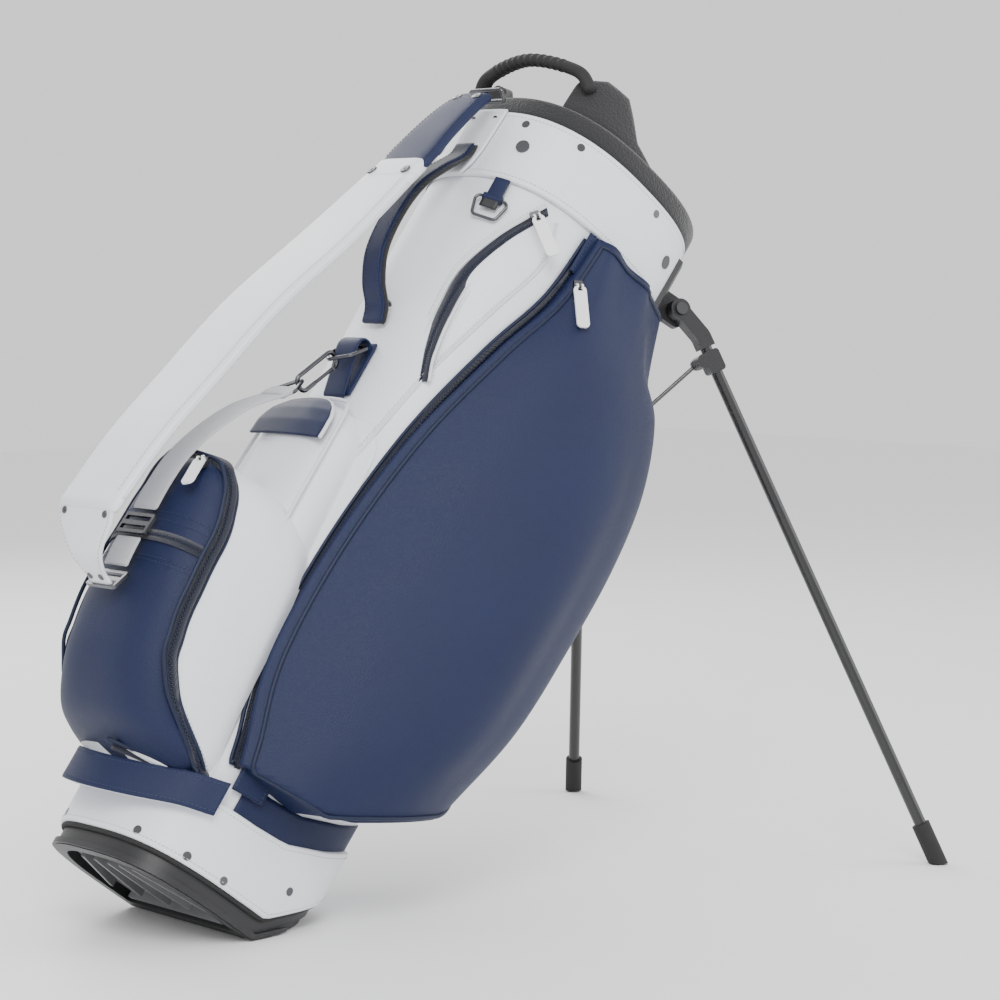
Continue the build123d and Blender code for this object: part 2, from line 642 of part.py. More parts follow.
STRUT_PIVOT = BLOCK - Vector(0, STRUT_Y, 0)
EYE_SIDE = -3.75
EYE = PIVOT + OUT * LOBE[0] + Vector(0, 0, LOBE[1]) - HINGE_AXIS * EYE_SIDE
folded_u = LOBE[0] * -dir_z + LOBE[1] * dir_u
folded_z = -LOBE[0] * dir_u + LOBE[1] * -dir_z
EYE_FOLDED = PIVOT + OUT * folded_u + Vector(0, 0, folded_z) - HINGE_AXIS * EYE_SIDE
strut_open = EYE - STRUT_PIVOT
strut_folded = EYE_FOLDED - (STRUT_PIVOT - RAIL * BLOCK_DROP)
STRUT_AXIS = strut_open.cross(strut_folded).normalized()
PIN_IN, PIN_OUT = -11.5, 5.0

with BuildPart() as spreader_block:
    with Locations((-1, 0, 0)):
        Box(18, 28, 34)
    with Locations((-12.3, 12.3, 0), (-12.3, -12.3, 0)):
        Box(4.6, 3.4, 34)
strut_bore = disc(STRUT_PIVOT, STRUT_AXIS, 3.06, PIN_IN - 0.4, PIN_OUT)
ROD_TOP = BLOCK + RAIL * 14
rod_bore = disc(ROD_TOP, RAIL * -1, 3.0, 0, 60)
spreader = (rail_place * spreader_block.part).cut(strut_bore, mirror(strut_bore, about=Plane.XZ), rod_bore)
write(spreader, "spreader_block")

ROD_BOTTOM = (ROD_FOOT_X - CREASE_X) * RISE + PLATE_T / cos(radians(LEAN)) + 3.0
rod_low = BLOCK - RAIL * 270
write(rod([tuple(ROD_TOP), (rod_low.X, 0, rod_low.Z), (ROD_FOOT_X, 0, rod_low.Z - 34),
           (ROD_FOOT_X, 0, ROD_BOTTOM)], 3.0, 12), "push_rod")

with BuildPart() as strut:
    add(disc(STRUT_PIVOT, STRUT_AXIS, 3.0, PIN_IN, PIN_OUT))
    with BuildSketch(Plane(origin=STRUT_PIVOT + STRUT_AXIS * 3, z_dir=EYE - (STRUT_PIVOT + STRUT_AXIS * 3))):
        Circle(2.2)
    extrude(amount=(EYE - STRUT_PIVOT - STRUT_AXIS * 3).length)
    add(disc(EYE, HINGE_AXIS, 6.5, -1.75, 1.75))
    add(disc(EYE, HINGE_AXIS, 3.5, 1.75, 4.2))
write_pair(strut.part, "strut")

with BuildPart() as hip_pad:
    add(column(215, 462, 22, 22))
    add(Pos(110, -33, 338) * Box(90, 48, 260), mode=Mode.INTERSECT)
    add(core, mode=Mode.SUBTRACT)
write_pair(hip_pad.part, "hip_pad")
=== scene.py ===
"""Golf stand bag: the looks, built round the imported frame.

Soft pieces are worked out in the bag's own frame, in millimetres: Z up the bag's axis, X from the
strap side to the leg side, Y across. row() leans a point on to the stand and turns it into metres.
"""

import math

import bpy
import numpy as np
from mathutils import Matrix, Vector


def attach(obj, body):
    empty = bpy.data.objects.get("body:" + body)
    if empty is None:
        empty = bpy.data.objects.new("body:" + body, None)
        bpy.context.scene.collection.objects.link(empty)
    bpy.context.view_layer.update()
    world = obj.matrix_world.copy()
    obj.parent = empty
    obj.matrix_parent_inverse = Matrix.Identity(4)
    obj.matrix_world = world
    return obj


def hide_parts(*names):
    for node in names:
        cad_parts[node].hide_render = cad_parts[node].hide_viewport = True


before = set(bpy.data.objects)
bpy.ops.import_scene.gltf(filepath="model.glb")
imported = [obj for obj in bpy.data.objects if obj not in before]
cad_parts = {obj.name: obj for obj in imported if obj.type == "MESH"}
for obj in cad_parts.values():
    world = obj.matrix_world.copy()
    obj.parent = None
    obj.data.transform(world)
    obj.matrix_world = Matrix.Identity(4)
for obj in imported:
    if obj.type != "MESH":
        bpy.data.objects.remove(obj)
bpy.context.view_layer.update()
MM = 0.001

# ---------------------------------------------------------------- the bag's frame
LEAN = math.radians(36.35)
RISE = math.tan(LEAN)
CREASE_X = 20.9
BAG_TOP = 850.0
HEEL_CENTRE = 48.0
FOOT_OUTLINE = (-12.0, 112.0, 98.0, 3.0)
MOUTH_OUTLINE = (0.0, 127.5, 111.3, 2.5)


def row(points):
    """Bag frame in millimetres to the row's frame in metres."""
    p = np.asarray(points, float)
    x = p[..., 0] - CREASE_X
    out = np.empty_like(p)
    out[..., 0] = x * math.cos(LEAN) + p[..., 2] * math.sin(LEAN) - HEEL_CENTRE
    out[..., 1] = p[..., 1]
    out[..., 2] = -x * math.sin(LEAN) + p[..., 2] * math.cos(LEAN)
    return out * MM


def outline_at(z, grow):
    """Middle, half length, half width and squareness of the tube's outline."""
    share = z / BAG_TOP
    middle, length, width, power = (a + (b - a) * share for a, b in zip(FOOT_OUTLINE, MOUTH_OUTLINE))
    return middle, length + grow, width + grow, power


def round_outline(middle, length, width, power, turn):
    c, s = math.cos(math.radians(turn)), math.sin(math.radians(turn))
    x = abs(c) ** (2 / power) * (1 if c >= 0 else -1)
    y = abs(s) ** (2 / power) * (1 if s >= 0 else -1)
    return middle + length * x, width * y


def tube_point(turn, z, grow):
    x, y = round_outline(*outline_at(z, grow), turn)
    return [x, y, z]


def on_tube(p, grow, only_inside=False):
    """The point moved out or in on to the tube's surface, grown outwards."""
    middle, length, width, power = outline_at(p[2], grow)
    reach = ((abs(p[0] - middle) / length) ** power + (abs(p[1]) / width) ** power) ** (1 / power)
    if only_inside and reach >= 1:
        return list(p)
    return [middle + (p[0] - middle) / reach, p[1] / reach, p[2]]


def smooth(points, count):
    """Evenly spaced points on a Catmull-Rom curve through the given points."""
    p = np.asarray(points, float)
    ext = np.vstack([2 * p[0] - p[1], p, 2 * p[-1] - p[-2]])
    fine = []
    for i in range(1, len(ext) - 2):
        a, b, c, d = ext[i - 1:i + 3]
        for t in np.linspace(0, 1, 24, endpoint=False):
            fine.append(0.5 * (2 * b + (c - a) * t + (2 * a - 5 * b + 4 * c - d) * t ** 2
                               + (3 * b - a - 3 * c + d) * t ** 3))
    fine.append(p[-1])
    fine = np.array(fine)
    run = np.concatenate([[0], np.cumsum(np.linalg.norm(np.diff(fine, axis=0), axis=1))])
    at = np.linspace(0, run[-1], count)
    return np.stack([np.interp(at, run, fine[:, k]) for k in range(fine.shape[1])], axis=1)


def wobble(p, size, seed=0.0):
    """A smooth pseudo-random number for a place, between about -1 and 1."""
    x, y, z = (np.asarray(p) / size + seed).tolist()
    return (math.sin(x * 1.7 + 1.3 * math.sin(y * 1.1 + seed)) + math.sin(y * 2.1 + 1.7 * math.sin(z * 0.9))
            + math.sin(z * 1.9 + 1.1 * math.sin(x * 1.3))) / 3


# ---------------------------------------------------------------- materials
def material(name, colour, roughness, grain=None, grain_depth=0.0, stretch=(1, 1, 1), vary=0.0,
             metallic=0.0, coat=0.0, sheen=0.0, scale=900.0, fold=0.0, coat_rough=0.3):
    """A surface with a fine grain, slow colour variation and worn roughness."""
    m = bpy.data.materials.new(name)
    m.use_nodes = True
    nodes, links = m.node_tree.nodes, m.node_tree.links
    shader = nodes["Principled BSDF"]
    shader.inputs["Metallic"].default_value = metallic
    shader.inputs["Coat Weight"].default_value = coat
    shader.inputs["Coat Roughness"].default_value = coat_rough
    shader.inputs["Sheen Weight"].default_value = sheen
    place = nodes.new("ShaderNodeTexCoord")
    mapping = nodes.new("ShaderNodeMapping")
    mapping.inputs["Scale"].default_value = stretch
    links.new(place.outputs["Object"], mapping.inputs["Vector"])
    slow = nodes.new("ShaderNodeTexNoise")
    slow.inputs["Scale"].default_value = 14
    slow.inputs["Detail"].default_value = 4
    links.new(place.outputs["Object"], slow.inputs["Vector"])
    ramp = nodes.new("ShaderNodeMix")
    ramp.data_type = "RGBA"
    low = [max(0, c * (1 - vary)) for c in colour]
    high = [min(1, c * (1 + vary)) for c in colour]
    ramp.inputs[6].default_value = (*low, 1)
    ramp.inputs[7].default_value = (*high, 1)
    links.new(slow.outputs["Fac"], ramp.inputs[0])
    links.new(ramp.outputs[2], shader.inputs["Base Color"])
    rough = nodes.new("ShaderNodeMapRange")
    rough.inputs["To Min"].default_value = max(0.05, roughness - 0.07)
    rough.inputs["To Max"].default_value = min(1, roughness + 0.07)
    links.new(slow.outputs["Fac"], rough.inputs["Value"])
    links.new(rough.outputs["Result"], shader.inputs["Roughness"])
    if grain:
        kind = {"pebble": "ShaderNodeTexVoronoi", "noise": "ShaderNodeTexNoise",
                "weave": "ShaderNodeTexWave", "mesh": "ShaderNodeTexVoronoi"}[grain]
        tex = nodes.new(kind)
        tex.inputs["Scale"].default_value = scale
        links.new(mapping.outputs["Vector"], tex.inputs["Vector"])
        height = tex.outputs["Distance"] if "Voronoi" in kind else tex.outputs["Fac"]
        if grain == "weave":
            cross = nodes.new("ShaderNodeTexWave")
            cross.bands_direction = "Y"
            cross.inputs["Scale"].default_value = scale
            links.new(mapping.outputs["Vector"], cross.inputs["Vector"])
            both = nodes.new("ShaderNodeMath")
            both.operation = "MULTIPLY"
            links.new(height, both.inputs[0])
            links.new(cross.outputs["Fac"], both.inputs[1])
            height = both.outputs[0]
        bump = nodes.new("ShaderNodeBump")
        bump.inputs["Strength"].default_value = min(1.0, grain_depth)
        bump.inputs["Distance"].default_value = 0.0006
        links.new(height, bump.inputs["Height"])
        last = bump
        if fold:
            crease = nodes.new("ShaderNodeTexNoise")
            crease.inputs["Scale"].default_value = 22
            crease.inputs["Detail"].default_value = 3
            links.new(place.outputs["Object"], crease.inputs["Vector"])
            wide = nodes.new("ShaderNodeBump")
            wide.inputs["Strength"].default_value = fold
            wide.inputs["Distance"].default_value = 0.004
            links.new(crease.outputs["Fac"], wide.inputs["Height"])
            links.new(wide.outputs["Normal"], bump.inputs["Normal"])
        links.new(last.outputs["Normal"], shader.inputs["Normal"])
    return m


WHITE = material("white_leather", (0.79, 0.81, 0.86), 0.42, "pebble", 0.35, vary=0.02, coat=0.15, scale=1100, fold=0.18)
WHITE_EDGE = material("white_binding", (0.70, 0.71, 0.74), 0.5, "noise", 0.4, vary=0.03, scale=1500)
NAVY = material("navy_leather", (0.007, 0.013, 0.050), 0.5, "pebble", 0.5, vary=0.12, scale=1000, fold=0.2)
NAVY_PIPING = material("navy_piping", (0.008, 0.013, 0.038), 0.46, "noise", 0.4, vary=0.1, scale=1400)
for leather in (NAVY, NAVY_PIPING):
    leather.node_tree.nodes["Principled BSDF"].inputs["Specular IOR Level"].default_value = 0.3
ZIP_TAPE = material("navy_zip_tape", (0.005, 0.008, 0.024), 0.8, "weave", 0.7, vary=0.15, sheen=0.3, scale=700)
ZIP_TEETH = material("navy_zip_teeth", (0.007, 0.012, 0.036), 0.38, "noise", 0.2, vary=0.1, scale=900)
MESH = material("black_mesh", (0.012, 0.012, 0.014), 0.85, "mesh", 1.0, vary=0.35, sheen=0.35, scale=420)
LINING = material("dark_lining", (0.02, 0.02, 0.024), 0.95, "noise", 0.8, vary=0.3, sheen=0.5, scale=800)
PLASTIC = material("black_plastic", (0.014, 0.014, 0.016), 0.42, "noise", 0.35, vary=0.2, scale=1300)
INSERT = material("grey_insert", (0.16, 0.16, 0.17), 0.5, "noise", 0.4, vary=0.15, scale=900)
RUBBER = material("black_rubber", (0.012, 0.012, 0.012), 0.75, "noise", 0.5, vary=0.2, scale=900)
TUBE = material("leg_paint", (0.012, 0.012, 0.013), 0.3, "noise", 0.15, vary=0.15, coat=0.3, scale=1600)
STEEL = material("dark_steel", (0.10, 0.10, 0.105), 0.32, "noise", 0.15, vary=0.2, metallic=1.0, scale=800)
GUN = material("gunmetal", (0.12, 0.12, 0.13), 0.28, "noise", 0.1, vary=0.25, metallic=1.0, scale=600)
WEBBING = material("grey_webbing", (0.60, 0.60, 0.63), 0.8, "weave", 1.0, vary=0.05, sheen=0.4, scale=420)
PULL = material("white_pull", (0.82, 0.82, 0.83), 0.45, "noise", 0.2, vary=0.03, scale=900)
THREAD_W = material("white_thread", (0.55, 0.55, 0.58), 0.7, "noise", 0.4, vary=0.05, scale=2500)
THREAD_N = material("navy_thread", (0.022, 0.034, 0.09), 0.6, "noise", 0.4, vary=0.1, scale=2500)


# ---------------------------------------------------------------- mesh helpers
def add_mesh(name, verts, faces, materials, slots=None, body="bag", slot=None, shade=True):
    mesh = bpy.data.meshes.new(name)
    mesh.from_pydata([tuple(v) for v in verts], [], faces)
    if slots is not None:
        for polygon, index in zip(mesh.polygons, slots):
            polygon.material_index = index
    for m in materials:
        mesh.materials.append(m)
    if shade:
        mesh.shade_smooth()
    mesh.validate()
    piece = bpy.data.objects.new(name, mesh)
    bpy.context.scene.collection.objects.link(piece)
    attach(piece, body)
    return piece


def grid(name, points, materials, slot, wrap=False, pick=None, thick=0.0, cap=False, flip=False):
    """A sheet through rows of points in the bag's frame; wrap joins each row's ends."""
    p = np.asarray(points, float)
    rows, cols = p.shape[:2]
    verts = row(p).reshape(-1, 3)
    faces, slots = [], []
    for i in range(rows - 1):
        for j in range(cols if wrap else cols - 1):
            k = (j + 1) % cols
            quad = [i * cols + j, i * cols + k, (i + 1) * cols + k, (i + 1) * cols + j]
            faces.append(quad[::-1] if flip else quad)
            slots.append(pick(i, j) if pick else 0)
    if cap and wrap:
        for i in (0, rows - 1):
            ring = [i * cols + j for j in range(cols)]
            faces.append(ring if (i > 0) != flip else ring[::-1])
            slots.append(pick(min(i, rows - 2), 0) if pick else 0)
    piece = add_mesh(name, verts, faces, materials, slots, slot=slot)
    if thick:
        solid = piece.modifiers.new("thickness", "SOLIDIFY")
        solid.thickness = thick * MM
        solid.offset = -1
    return piece


def frames_along(path, up):
    """Tangent, side and up vectors along a path, with up kept near the given directions."""
    path = np.asarray(path, float)
    tangent = np.gradient(path, axis=0)
    tangent /= np.linalg.norm(tangent, axis=1)[:, None]
    up = np.broadcast_to(np.asarray(up, float), path.shape)
    side = np.cross(tangent, up)
    side /= np.linalg.norm(side, axis=1)[:, None]
    return tangent, side, np.cross(side, tangent)


def strip(name, path, up, half_width, half_thick, materials, slot, power=4.0, around=20, round_ends=True,
          bulge=None, pick=None, shift=0.0):
    """A closed padded strip along a path: a squarish oval section with softly closed ends."""
    path = np.asarray(path, float)
    tangent, side, over = frames_along(path, up)
    count = len(path)
    run = np.concatenate([[0], np.cumsum(np.linalg.norm(np.diff(path, axis=0), axis=1))])
    rows = []
    for i in range(count):
        w = half_width[i] if np.ndim(half_width) else half_width
        t = half_thick[i] if np.ndim(half_thick) else half_thick
        if round_ends:
            edge = min(run[i], run[-1] - run[i])
            close = min(1.0, edge / max(t, 0.1))
            t *= math.sqrt(max(0.02, 1 - (1 - close) ** 2))
            w -= (1 - math.sqrt(max(0.0, 1 - (1 - close) ** 2))) * min(3.0, t + 1)
        if bulge:
            t *= bulge(run[i] / run[-1])
        ring = []
        for j in range(around):
            a = 2 * math.pi * j / around
            c, s = math.cos(a), math.sin(a)
            x = abs(c) ** (2 / power) * (1 if c >= 0 else -1) * w
            y = abs(s) ** (2 / 2.4) * (1 if s >= 0 else -1) * t
            ring.append(path[i] + side[i] * x + over[i] * (y + shift))
        rows.append(ring)
    return grid(name, rows, materials, slot, wrap=True, cap=True, pick=pick)


def tube_along(name, path, radius, mat, slot, around=10, closed=False, power=2.0):
    """A round cord or wire through the path, in the bag's frame."""
    path = np.asarray(path, float)
    if closed:
        path = np.vstack([path, path[:1]])
    tangent = np.gradient(path, axis=0)
    if closed:
        tangent[0] = tangent[-1] = path[1] - path[-2]
    tangent /= np.linalg.norm(tangent, axis=1)[:, None]
    side = np.cross(tangent[0], [0.31, 0.22, 0.93])
    side /= np.linalg.norm(side)
    rows = []
    for i in range(len(path)):
        side = side - tangent[i] * side.dot(tangent[i])
        side /= np.linalg.norm(side)
        over = np.cross(tangent[i], side)
        r = radius[i] if np.ndim(radius) else radius
        rows.append([path[i] + (side * math.cos(a) + over * math.sin(a)) * r
                     for a in np.linspace(0, 2 * math.pi, around, endpoint=False)])
    return grid(name, rows, [mat], slot, wrap=True, cap=not closed)


def stitches(name, lines, mat, slot, pitch=4.2, length=2.9, radius=0.42):
    """Thread lying in short raised stitches along several lines, as one piece."""
    verts, faces = [], []
    for line in lines:
        line = np.asarray(line, float)
        run = np.concatenate([[0], np.cumsum(np.linalg.norm(np.diff(line, axis=0), axis=1))])
        for s in np.arange(pitch / 2, run[-1] - pitch / 2, pitch):
            a, b = (np.array([np.interp(q, run, line[:, k]) for k in range(3)])
                    for q in (s - length / 2, s + length / 2))
            along = (b - a) / max(np.linalg.norm(b - a), 1e-6)
            side = np.cross(along, [0.3, 0.2, 0.9])
            side /= max(np.linalg.norm(side), 1e-6)
            over = np.cross(along, side)
            start = len(verts)
            for share, r in ((0, 0.25), (0.18, 0.85), (0.5, 1.0), (0.82, 0.85), (1, 0.25)):
                for k in range(6):
                    angle = math.pi * k / 3
                    verts.append(a + (b - a) * share
                                 + (side * math.cos(angle) + over * math.sin(angle)) * radius * r)
            for q in range(4):
                for k in range(6):
                    n = (k + 1) % 6
                    faces.append([start + q * 6 + k, start + q * 6 + n, start + q * 6 + 6 + n,
                                  start + q * 6 + 6 + k])
            faces.append([start + k for k in range(5, -1, -1)])
            faces.append([start + 24 + k for k in range(6)])
    return add_mesh(name, row(np.array(verts)), faces, [mat], slot=slot)


def zip_band(name, path, normals, half_width, slot):
    """A zip on a surface: two tapes with a coil of teeth between them."""
    tangent, side, over = frames_along(path, normals)
    rows = []
    for i in range(len(path)):
        rows.append([path[i] + side[i] * half_width * k + over[i] * h
                     for k, h in ((-1, 0.2), (-0.35, 0.9), (0, 0.5), (0.35, 0.9), (1, 0.2))])
    tape = grid(name + "_tape", rows, [ZIP_TAPE], slot, thick=0.8)
    verts, faces = [], []
    run = np.concatenate([[0], np.cumsum(np.linalg.norm(np.diff(path, axis=0), axis=1))])
    for n, s in enumerate(np.arange(1.5, run[-1] - 1.5, 1.9)):
        at, t, d, o = (np.array([np.interp(s, run, v[:, k]) for k in range(3)])
                       for v in (np.asarray(path), tangent, side, over))
        hand = 1 if n % 2 else -1
        start = len(verts)
        for x, y, z in ((-0.6, -0.6, 0.9), (-0.6, 2.2, 0.7), (0.6, 2.2, 0.7), (0.6, -0.6, 0.9),
                        (-0.5, -0.3, 2.0), (-0.5, 1.8, 1.6), (0.5, 1.8, 1.6), (0.5, -0.3, 2.0)):
            verts.append(at + t * x + d * y * hand + o * z)
        for f in ((0, 1, 2, 3), (4, 7, 6, 5), (0, 4, 5, 1), (1, 5, 6, 2), (2, 6, 7, 3), (3, 7, 4, 0)):
            faces.append([start + q for q in f])
    add_mesh(name + "_teeth", row(np.array(verts)), faces, [ZIP_TEETH], slot="gunmetal")
    return tape


def rivet(name, at, normal, radius=4.4, mat=None):
    """A domed rivet head with a rolled rim."""
    n = np.asarray(normal, float) / np.linalg.norm(normal)
    side = np.cross(n, [0.2, 0.3, 0.93])
    side /= np.linalg.norm(side)
    over = np.cross(n, side)
    rows = []
    for r, h in ((1.0, -0.6), (1.02, 0.5), (0.92, 1.1), (0.72, 1.2), (0.6, 0.95), (0.35, 1.5), (0.02, 1.65)):
        rows.append([np.asarray(at) + (side * math.cos(a) + over * math.sin(a)) * radius * r + n * h
                     for a in np.linspace(0, 2 * math.pi, 20, endpoint=False)])
    return grid(name, rows, [mat or GUN], "gunmetal", wrap=True, cap=True)


def tube_normal(p):
    middle, length, width, power = outline_at(p[2], 0)
    nx = (abs(p[0] - middle) / length) ** (power - 1) / length * np.sign(p[0] - middle)
    ny = (abs(p[1]) / width) ** (power - 1) / width * np.sign(p[1])
    v = np.array([nx, ny, -0.02])
    return v / np.linalg.norm(v)


def drape(points, count, grow):
    """A line through the points, laid on the tube's surface."""
    line = np.array([on_tube(p, grow) for p in smooth(points, count)])
    return line, np.array([tube_normal(p) for p in line])


def mirrored(points):
    return np.asarray(points, float) * np.array([1, -1, 1])


# ---------------------------------------------------------------- tube and cuffs
def heel_lift(x):
    return max(0.0, x - CREASE_X) * RISE


def tube_skin():
    turns = np.arange(0, 360, 3.0)
    for name, grow, mat, slot, top in (("bag_skin", 0.0, WHITE, "white_leather", 839),
                                       ("tube_lining", -3.4, LINING, "lining", 838)):
        rows = []
        for share in np.linspace(0, 1, 70):
            line = []
            for turn in turns:
                x = tube_point(turn, 60, 0)[0]
                low = 27 + heel_lift(x)
                z = low + (top - low) * share
                g = grow
                if grow == 0.0:
                    g += 0.7 * wobble(np.array(tube_point(turn, z, 0)), 48)
                line.append(tube_point(turn, z, g))
            rows.append(line)
        piece = grid(name, rows, [mat], slot, wrap=True, flip=grow < 0)
        if grow == 0.0:
            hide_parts("club_tube")


def band(name, low, high, grow, mat, slot, node, bulge=1.2):
    """A cuff with rolled edges between two heights, which may depend on X."""
    turns = np.arange(0, 360, 2.5)
    profile = [(0, -grow + 0.6), (0, 0.0), (0.015, 0.9), (0.05, 1.0)]
    profile += [(s, 1.0) for s in np.linspace(0.1, 0.9, 12)]
    profile += [(0.95, 1.0), (0.985, 0.9), (1, 0.0), (1, -grow + 0.6)]
    rows = []
    for share, lift in profile:
        line = []
        for turn in turns:
            x = tube_point(turn, 60, grow)[0]
            z = low(x) + (high(x) - low(x)) * share
            g = grow + (lift * bulge if lift > 0 else lift)
            g += 0.35 * wobble(np.array(tube_point(turn, z, 0)), 26, 2.0) * max(0.0, lift)
            line.append(tube_point(turn, z, g))
        rows.append(line)
    piece = grid(name, rows, [mat], slot, wrap=True)
    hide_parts(node)
    return piece


def lower_cuff_top(x):
    return float(np.interp(x, (-300, -40, 0, 50, 130), (86, 88, 91, 109, 146)))


def lower_cuff_low(x):
    return 22.5 + heel_lift(x)


def cuffs():
    band("upper_cuff_skin", lambda x: 772, lambda x: 849.5, 4.3, WHITE, "white_leather", "upper_cuff")
    band("lower_cuff_skin", lower_cuff_low, lower_cuff_top, 5.0, WHITE, "white_leather", "lower_cuff")
    turns = np.arange(0, 360.1, 2.0)
    lines = [[tube_point(t, z, 5.75) for t in turns] for z in (777.5, 844.5)]
    stitches("upper_cuff_stitching", lines, THREAD_W, "white_leather")
    lines = []
    for edge, inset in ((lower_cuff_low, 5.0), (lower_cuff_top, -5.0)):
        lines.append([tube_point(t, edge(tube_point(t, 60, 5)[0]) + inset, 6.4) for t in turns])
    stitches("lower_cuff_stitching", lines, THREAD_W, "white_leather")
    # navy cloth that shows above the lower cuff behind the front pockets
    turns = [t for t in np.arange(-180, 180, 2.5) if tube_point(t, 60, 0)[0] > -70]
    rows = []
    for share in np.linspace(0, 1, 8):
        rows.append([tube_point(t, lower_cuff_top(tube_point(t, 60, 0)[0]) - 4 + 34 * share, 1.6) for t in turns])
    grid("tube_low_band", rows, [NAVY], "navy_leather", thick=1.0)
    # black roll that shows between the lower cuff and the moulded foot
    path = [tube_point(t, 20.5 + heel_lift(tube_point(t, 60, 4)[0]), 1.5) for t in np.arange(0, 360, 3.0)]
    tube_along("foot_binding", path, 2.6, RUBBER, "rubber_foot", closed=True)


# ---------------------------------------------------------------- side pockets
def wing(edge, wide, corner, tail):
    (ex, ey), (wx, wy), (cx, cy), (tx, ty) = edge, wide, corner, tail
    return [(ex, ey), ((ex + wx) / 2 - 8, (ey + wy) / 2 - 10), (wx, wy), ((wx + cx) / 2 + 6, (wy + cy) / 2 - 8),
            (cx, cy), (tx + 14, ty - 8), (tx, ty)]


SIDE_STATIONS = [
    (768, 0.0, wing((-26, -122), (20, -124), (64, -118), (90, -92))),
    (690, 0.1, wing((-36, -119), (30, -148), (98, -124), (108, -98))),
    (620, 0.25, wing((-66, -113), (40, -176), (128, -142), (118, -102))),
    (520, 0.40, wing((-98, -100), (50, -194), (146, -154), (124, -102))),
    (410, 0.55, wing((-112, -90), (54, -200), (152, -158), (122, -102))),
    (300, 0.68, wing((-112, -92), (54, -198), (150, -156), (118, -102))),
    (200, 0.68, wing((-92, -102), (50, -188), (144, -150), (112, -100))),
    (122, 0.58, wing((-80, -106), (44, -160), (126, -132), (108, -98))),
]


POCKET_LOW_X = (-88, -9, 55, 97, 125, 142)
POCKET_LOW_Z = (126, 123, 145, 171, 206, 247)


def side_surface(rows_count=110, cols=90):
    """Rows of points on the pocket's skin, front edge to back edge, top to bottom."""
    across = []
    for z, slope, outline in SIDE_STATIONS:
        line = smooth(outline, cols)
        across.append(np.column_stack([line, z + slope * line[:, 0]]))
    across = np.array(across)
    return np.stack([smooth(across[:, j], rows_count) for j in range(cols)], axis=1)


def side_pocket(side, hand):
    base = side_surface()
    rows_count, cols = base.shape[:2]
    skin = []
    for i in range(rows_count):
        line = []
        for j in range(cols):
            p = base[i, j].copy()
            p[:2] += np.array([0.3, -1.0]) * 0.8 * wobble(p, 60, 5.0) * min(1, j / 12)
            p[2] = max(p[2], float(np.interp(p[0], POCKET_LOW_X, POCKET_LOW_Z)))
            line.append(on_tube(p, 1.0, only_inside=True))
        skin.append(line)
    top = [on_tube(np.array(p) + [0, 0, 3], 0.6) for p in skin[0]]
    low = [on_tube(np.array(p) - [0, 0, 4], 0.6) for p in skin[-1]]
    full = [top, *skin, low]
    full = np.array(full)
    front_wall = np.array([on_tube(p + [-2, 0, 0], 0.5) for p in full[:, 0]])
    back_wall = np.array([on_tube(p, 0.5) for p in full[:, -1]])
    full = np.concatenate([front_wall[:, None], full, back_wall[:, None]], axis=1)
    place = mirrored if hand < 0 else np.asarray
    piece = grid(f"side_pocket_{side}_skin", place(full), [NAVY], "navy_leather", flip=hand > 0)
    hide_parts(f"side_pocket_{side}")
    # piping round the face, a zip beside it and a second navy piping beyond the zip on the tube
    inset = 4
    ring = np.concatenate([full[2:-2, inset], full[-3, inset:-8], full[2:-2, -8][::-1], full[2, inset:-8][::-1]])
    lifted = np.array([p + 0.6 * tube_normal(p) for p in ring])
    tube_along(f"side_pocket_{side}_piping", place(smooth(lifted[::4], 300)), 2.2, NAVY_PIPING, "navy_leather",
               closed=True)
    edge = full[2:-2, 1][::4]
    outer, normals = drape(edge + [-3.5, 1, 0], 150, 1.2)
    zip_band(f"side_pocket_{side}_zip", place(outer), place(normals), 6.5, "navy_leather")
    second, normals = drape(edge + [-11, 2.5, 0], 150, 2.6)
    tube_along(f"side_pocket_{side}_outer_piping", place(second), 2.0, NAVY_PIPING, "navy_leather")
    return place(full)


tube_skin()
cuffs()
near_pocket = side_pocket("near", 1)
side_pocket("far", -1)


# ---------------------------------------------------------------- front pockets
def pouch(front, half_width, count, back=-60.0, square=3.0):
    """Half outline of a front pocket, from the middle of its front to its back corner."""
    middle, length = (front + back) / 2, (back - front) / 2
    return [round_outline(middle, length, half_width, square, turn) for turn in np.linspace(180, 290, count)]


BALL_STATIONS = [(92, -158, 72), (100, -178, 78), (112, -196, 84), (134, -212, 86), (160, -224, 87),
                 (195, -232, 87), (230, -238, 86), (265, -242, 84), (300, -245, 80), (325, -245, 74),
                 (345, -243, 66), (358, -236, 56), (366, -226, 46)]
MID_STATIONS = [(300, -154, 69), (380, -156, 66), (430, -157, 64), (455, -157, 62), (470, -154, 54), (482, -148, 44)]
BALL_EDGE = ((92, -84), (114, -121), (137, -165), (168, -192), (213, -202), (261, -206), (292, -206),
             (332, -210), (352, -216), (366, -224))
CHEST_LOW, CHEST_HIGH = 246.0, 294.0


